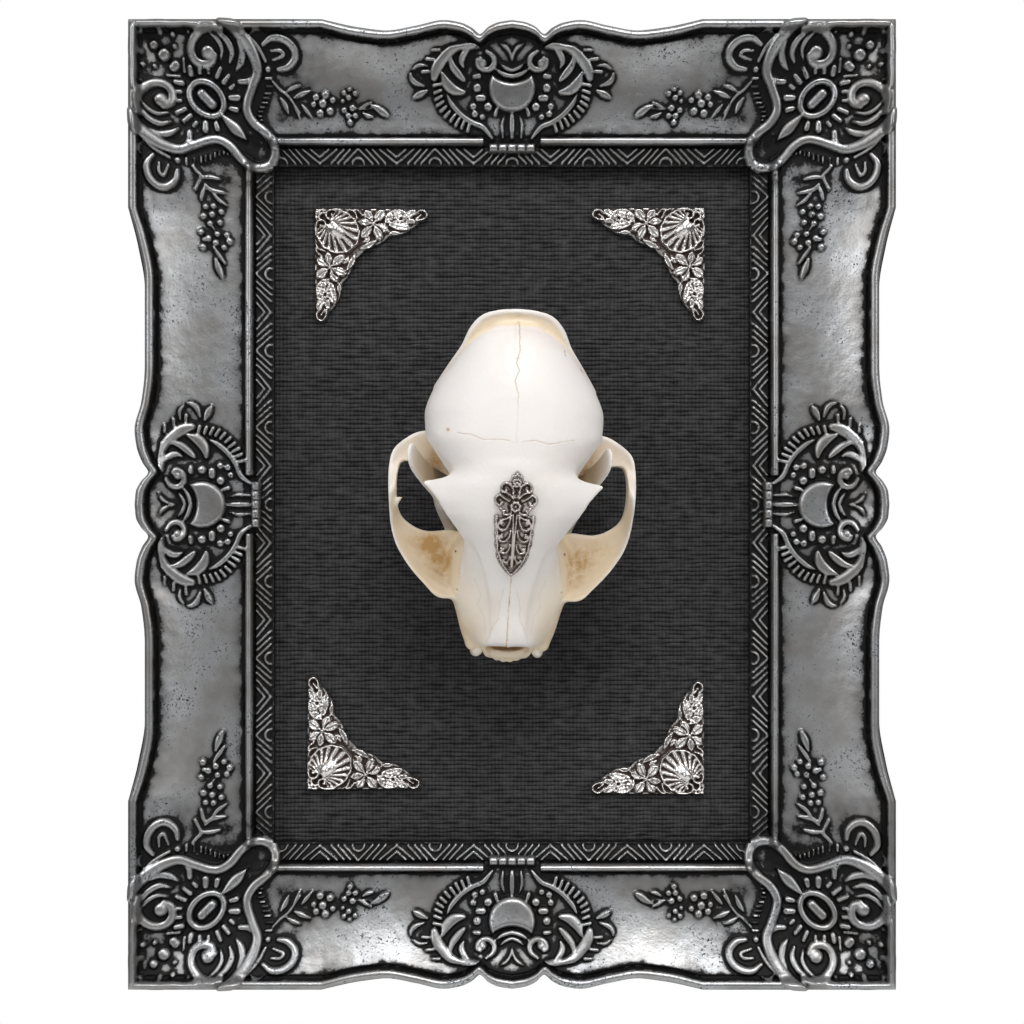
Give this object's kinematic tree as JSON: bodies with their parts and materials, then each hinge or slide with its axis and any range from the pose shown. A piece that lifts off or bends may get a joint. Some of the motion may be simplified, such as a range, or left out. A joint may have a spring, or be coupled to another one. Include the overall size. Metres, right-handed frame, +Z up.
{
  "type": "framed cat skull",
  "caption": "Life-size cat skull with its lower jaw, fixed snout down on textured black card in a small upright frame with baroque ornament, with stamped leaf corners and forehead leaf.",
  "frame": {"origin": "middle of the flat back, on the wall plane", "axes": "+Z up as the frame hangs, +Y into the wall, +X to the right of someone who faces the front"},
  "size_m": [0.1916, 0.0566, 0.2422],
  "materials": {
    "antique_silver": "dark silver with worn bright edges, satin",
    "bright_silver": "stamped silver, dark in the hollows",
    "bone": "cleaned bone, satin",
    "tooth": "enamel, glossy",
    "black_card": "black with a woven canvas texture, matt",
    "back_board": "pressed wood-fibre board, matt",
    "steel": "plain zinc-plated"
  },
  "bodies": {
    "root": {"back_board": "back_board", "backing_card": "black_card", "beads_bottom": "antique_silver", "beads_left": "antique_silver", "beads_right": "antique_silver", "beads_top": "antique_silver", "board_screw_1": "steel", "board_screw_2": "steel", "board_screw_3": "steel", "board_screw_4": "steel", "boss_bottom_left": "antique_silver", "boss_bottom_right": "antique_silver", "boss_top_left": "antique_silver", "boss_top_right": "antique_silver", "canine_left": "tooth", "canine_right": "tooth", "card_corner_bottom_left": "bright_silver", "card_corner_bottom_right": "bright_silver", "card_corner_top_left": "bright_silver", "card_corner_top_right": "bright_silver", "cheek_arch_left": "bone", "cheek_arch_right": "bone", "cranium": "bone", "forehead_leaf": "bright_silver", "garland_bottom": "antique_silver", "garland_left": "antique_silver", "garland_right": "antique_silver", "garland_top": "antique_silver", "hanger_nail_left": "steel", "hanger_nail_right": "steel", "jaw_left": "bone", "jaw_right": "bone", "medallion_bottom": "antique_silver", "medallion_left": "antique_silver", "medallion_right": "antique_silver", "medallion_top": "antique_silver", "rail_bottom": "antique_silver", "rail_left": "antique_silver", "rail_right": "antique_silver", "rail_top": "antique_silver", "scroll_bottom_left": "antique_silver", "scroll_bottom_right": "antique_silver", "scroll_top_left": "antique_silver", "scroll_top_right": "antique_silver", "wall_hanger": "steel"}
  },
  "joints": []
}
